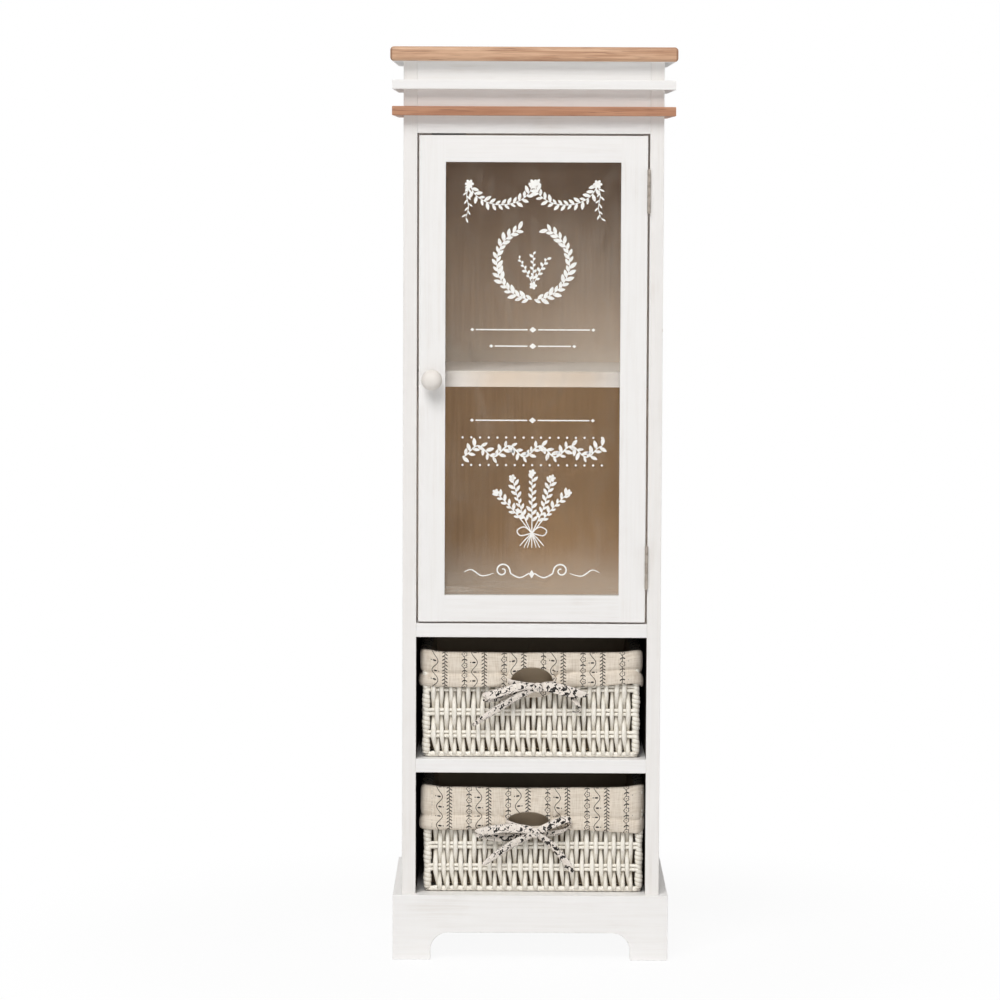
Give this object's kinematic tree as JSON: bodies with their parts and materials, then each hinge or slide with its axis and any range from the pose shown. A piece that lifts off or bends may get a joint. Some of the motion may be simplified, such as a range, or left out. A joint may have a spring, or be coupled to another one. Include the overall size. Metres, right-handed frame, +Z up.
{
  "type": "display cabinet",
  "caption": "Tall narrow painted cabinet with a hinged glazed door over open bays that hold lined wicker baskets.",
  "frame": {"origin": "on the floor, under the middle of the cabinet's overall width and depth, knob included", "axes": "+Z up, +X to the right of someone facing the door, the front faces -Y"},
  "size_m": [0.33, 0.279, 1.06],
  "materials": {
    "white_paint": "white paint on wood, lightly worn",
    "natural_wood": "oiled natural wood",
    "brown_wood": "brown stained wood",
    "interior_brown": "taupe brown stained board",
    "clear_glass": "clear float glass",
    "hinge_steel": "nickelled steel",
    "catch_plastic": "white moulded plastic",
    "wicker": "white painted wicker",
    "liner_fabric": "printed beige cotton",
    "bow_fabric": "printed cotton ribbon"
  },
  "bodies": {
    "carcass": {"left_side_panel": "white_paint", "right_side_panel": "white_paint", "bottom_panel": "white_paint", "basket_divider": "white_paint", "display_floor": "white_paint", "display_shelf": "white_paint", "ceiling_panel": "white_paint", "frieze_board": "white_paint", "upper_crown_front": "white_paint", "upper_crown_left": "white_paint", "upper_crown_right": "white_paint", "plinth_front": "white_paint", "plinth_left": "white_paint", "plinth_right": "white_paint", "top_board": "natural_wood", "plinth_corner_blocks": "natural_wood", "lower_crown_front": "brown_wood", "lower_crown_left": "brown_wood", "lower_crown_right": "brown_wood", "back_panel": "interior_brown", "upper_hinge_frame_leaf": "hinge_steel", "upper_hinge_pin": "hinge_steel", "lower_hinge_frame_leaf": "hinge_steel", "lower_hinge_pin": "hinge_steel", "magnetic_catch": "catch_plastic"},
    "door": {"door_knob_stile": "white_paint", "door_hinge_stile": "white_paint", "door_top_rail": "white_paint", "door_bottom_rail": "white_paint", "door_glass": "clear_glass", "glazing_beads": "white_paint", "door_knob": "white_paint", "knob_screw": "hinge_steel", "upper_hinge_door_leaf": "hinge_steel", "lower_hinge_door_leaf": "hinge_steel", "strike_plate": "hinge_steel"},
    "upper_basket": {"upper_basket_front_wall": "wicker", "upper_basket_back_wall": "wicker", "upper_basket_left_wall": "wicker", "upper_basket_right_wall": "wicker", "upper_basket_corner_posts": "wicker", "upper_basket_base": "wicker", "upper_basket_liner": "liner_fabric", "upper_basket_bow": "bow_fabric"},
    "lower_basket": {"lower_basket_front_wall": "wicker", "lower_basket_back_wall": "wicker", "lower_basket_left_wall": "wicker", "lower_basket_right_wall": "wicker", "lower_basket_corner_posts": "wicker", "lower_basket_base": "wicker", "lower_basket_liner": "liner_fabric", "lower_basket_bow": "bow_fabric"}
  },
  "joints": [
    {"name": "door_hinge", "type": "hinge", "parent": "carcass", "child": "door", "pos_m": [0.1328, -0.1174, 0.6773], "axis": [0, 0, 1], "range_deg": [0, 170]},
    {"name": "upper_basket_slide", "type": "slide", "parent": "carcass", "child": "upper_basket", "axis": [0, -1, 0], "range_m": [0, 0.2]},
    {"name": "lower_basket_slide", "type": "slide", "parent": "carcass", "child": "lower_basket", "axis": [0, -1, 0], "range_m": [0, 0.2]}
  ]
}
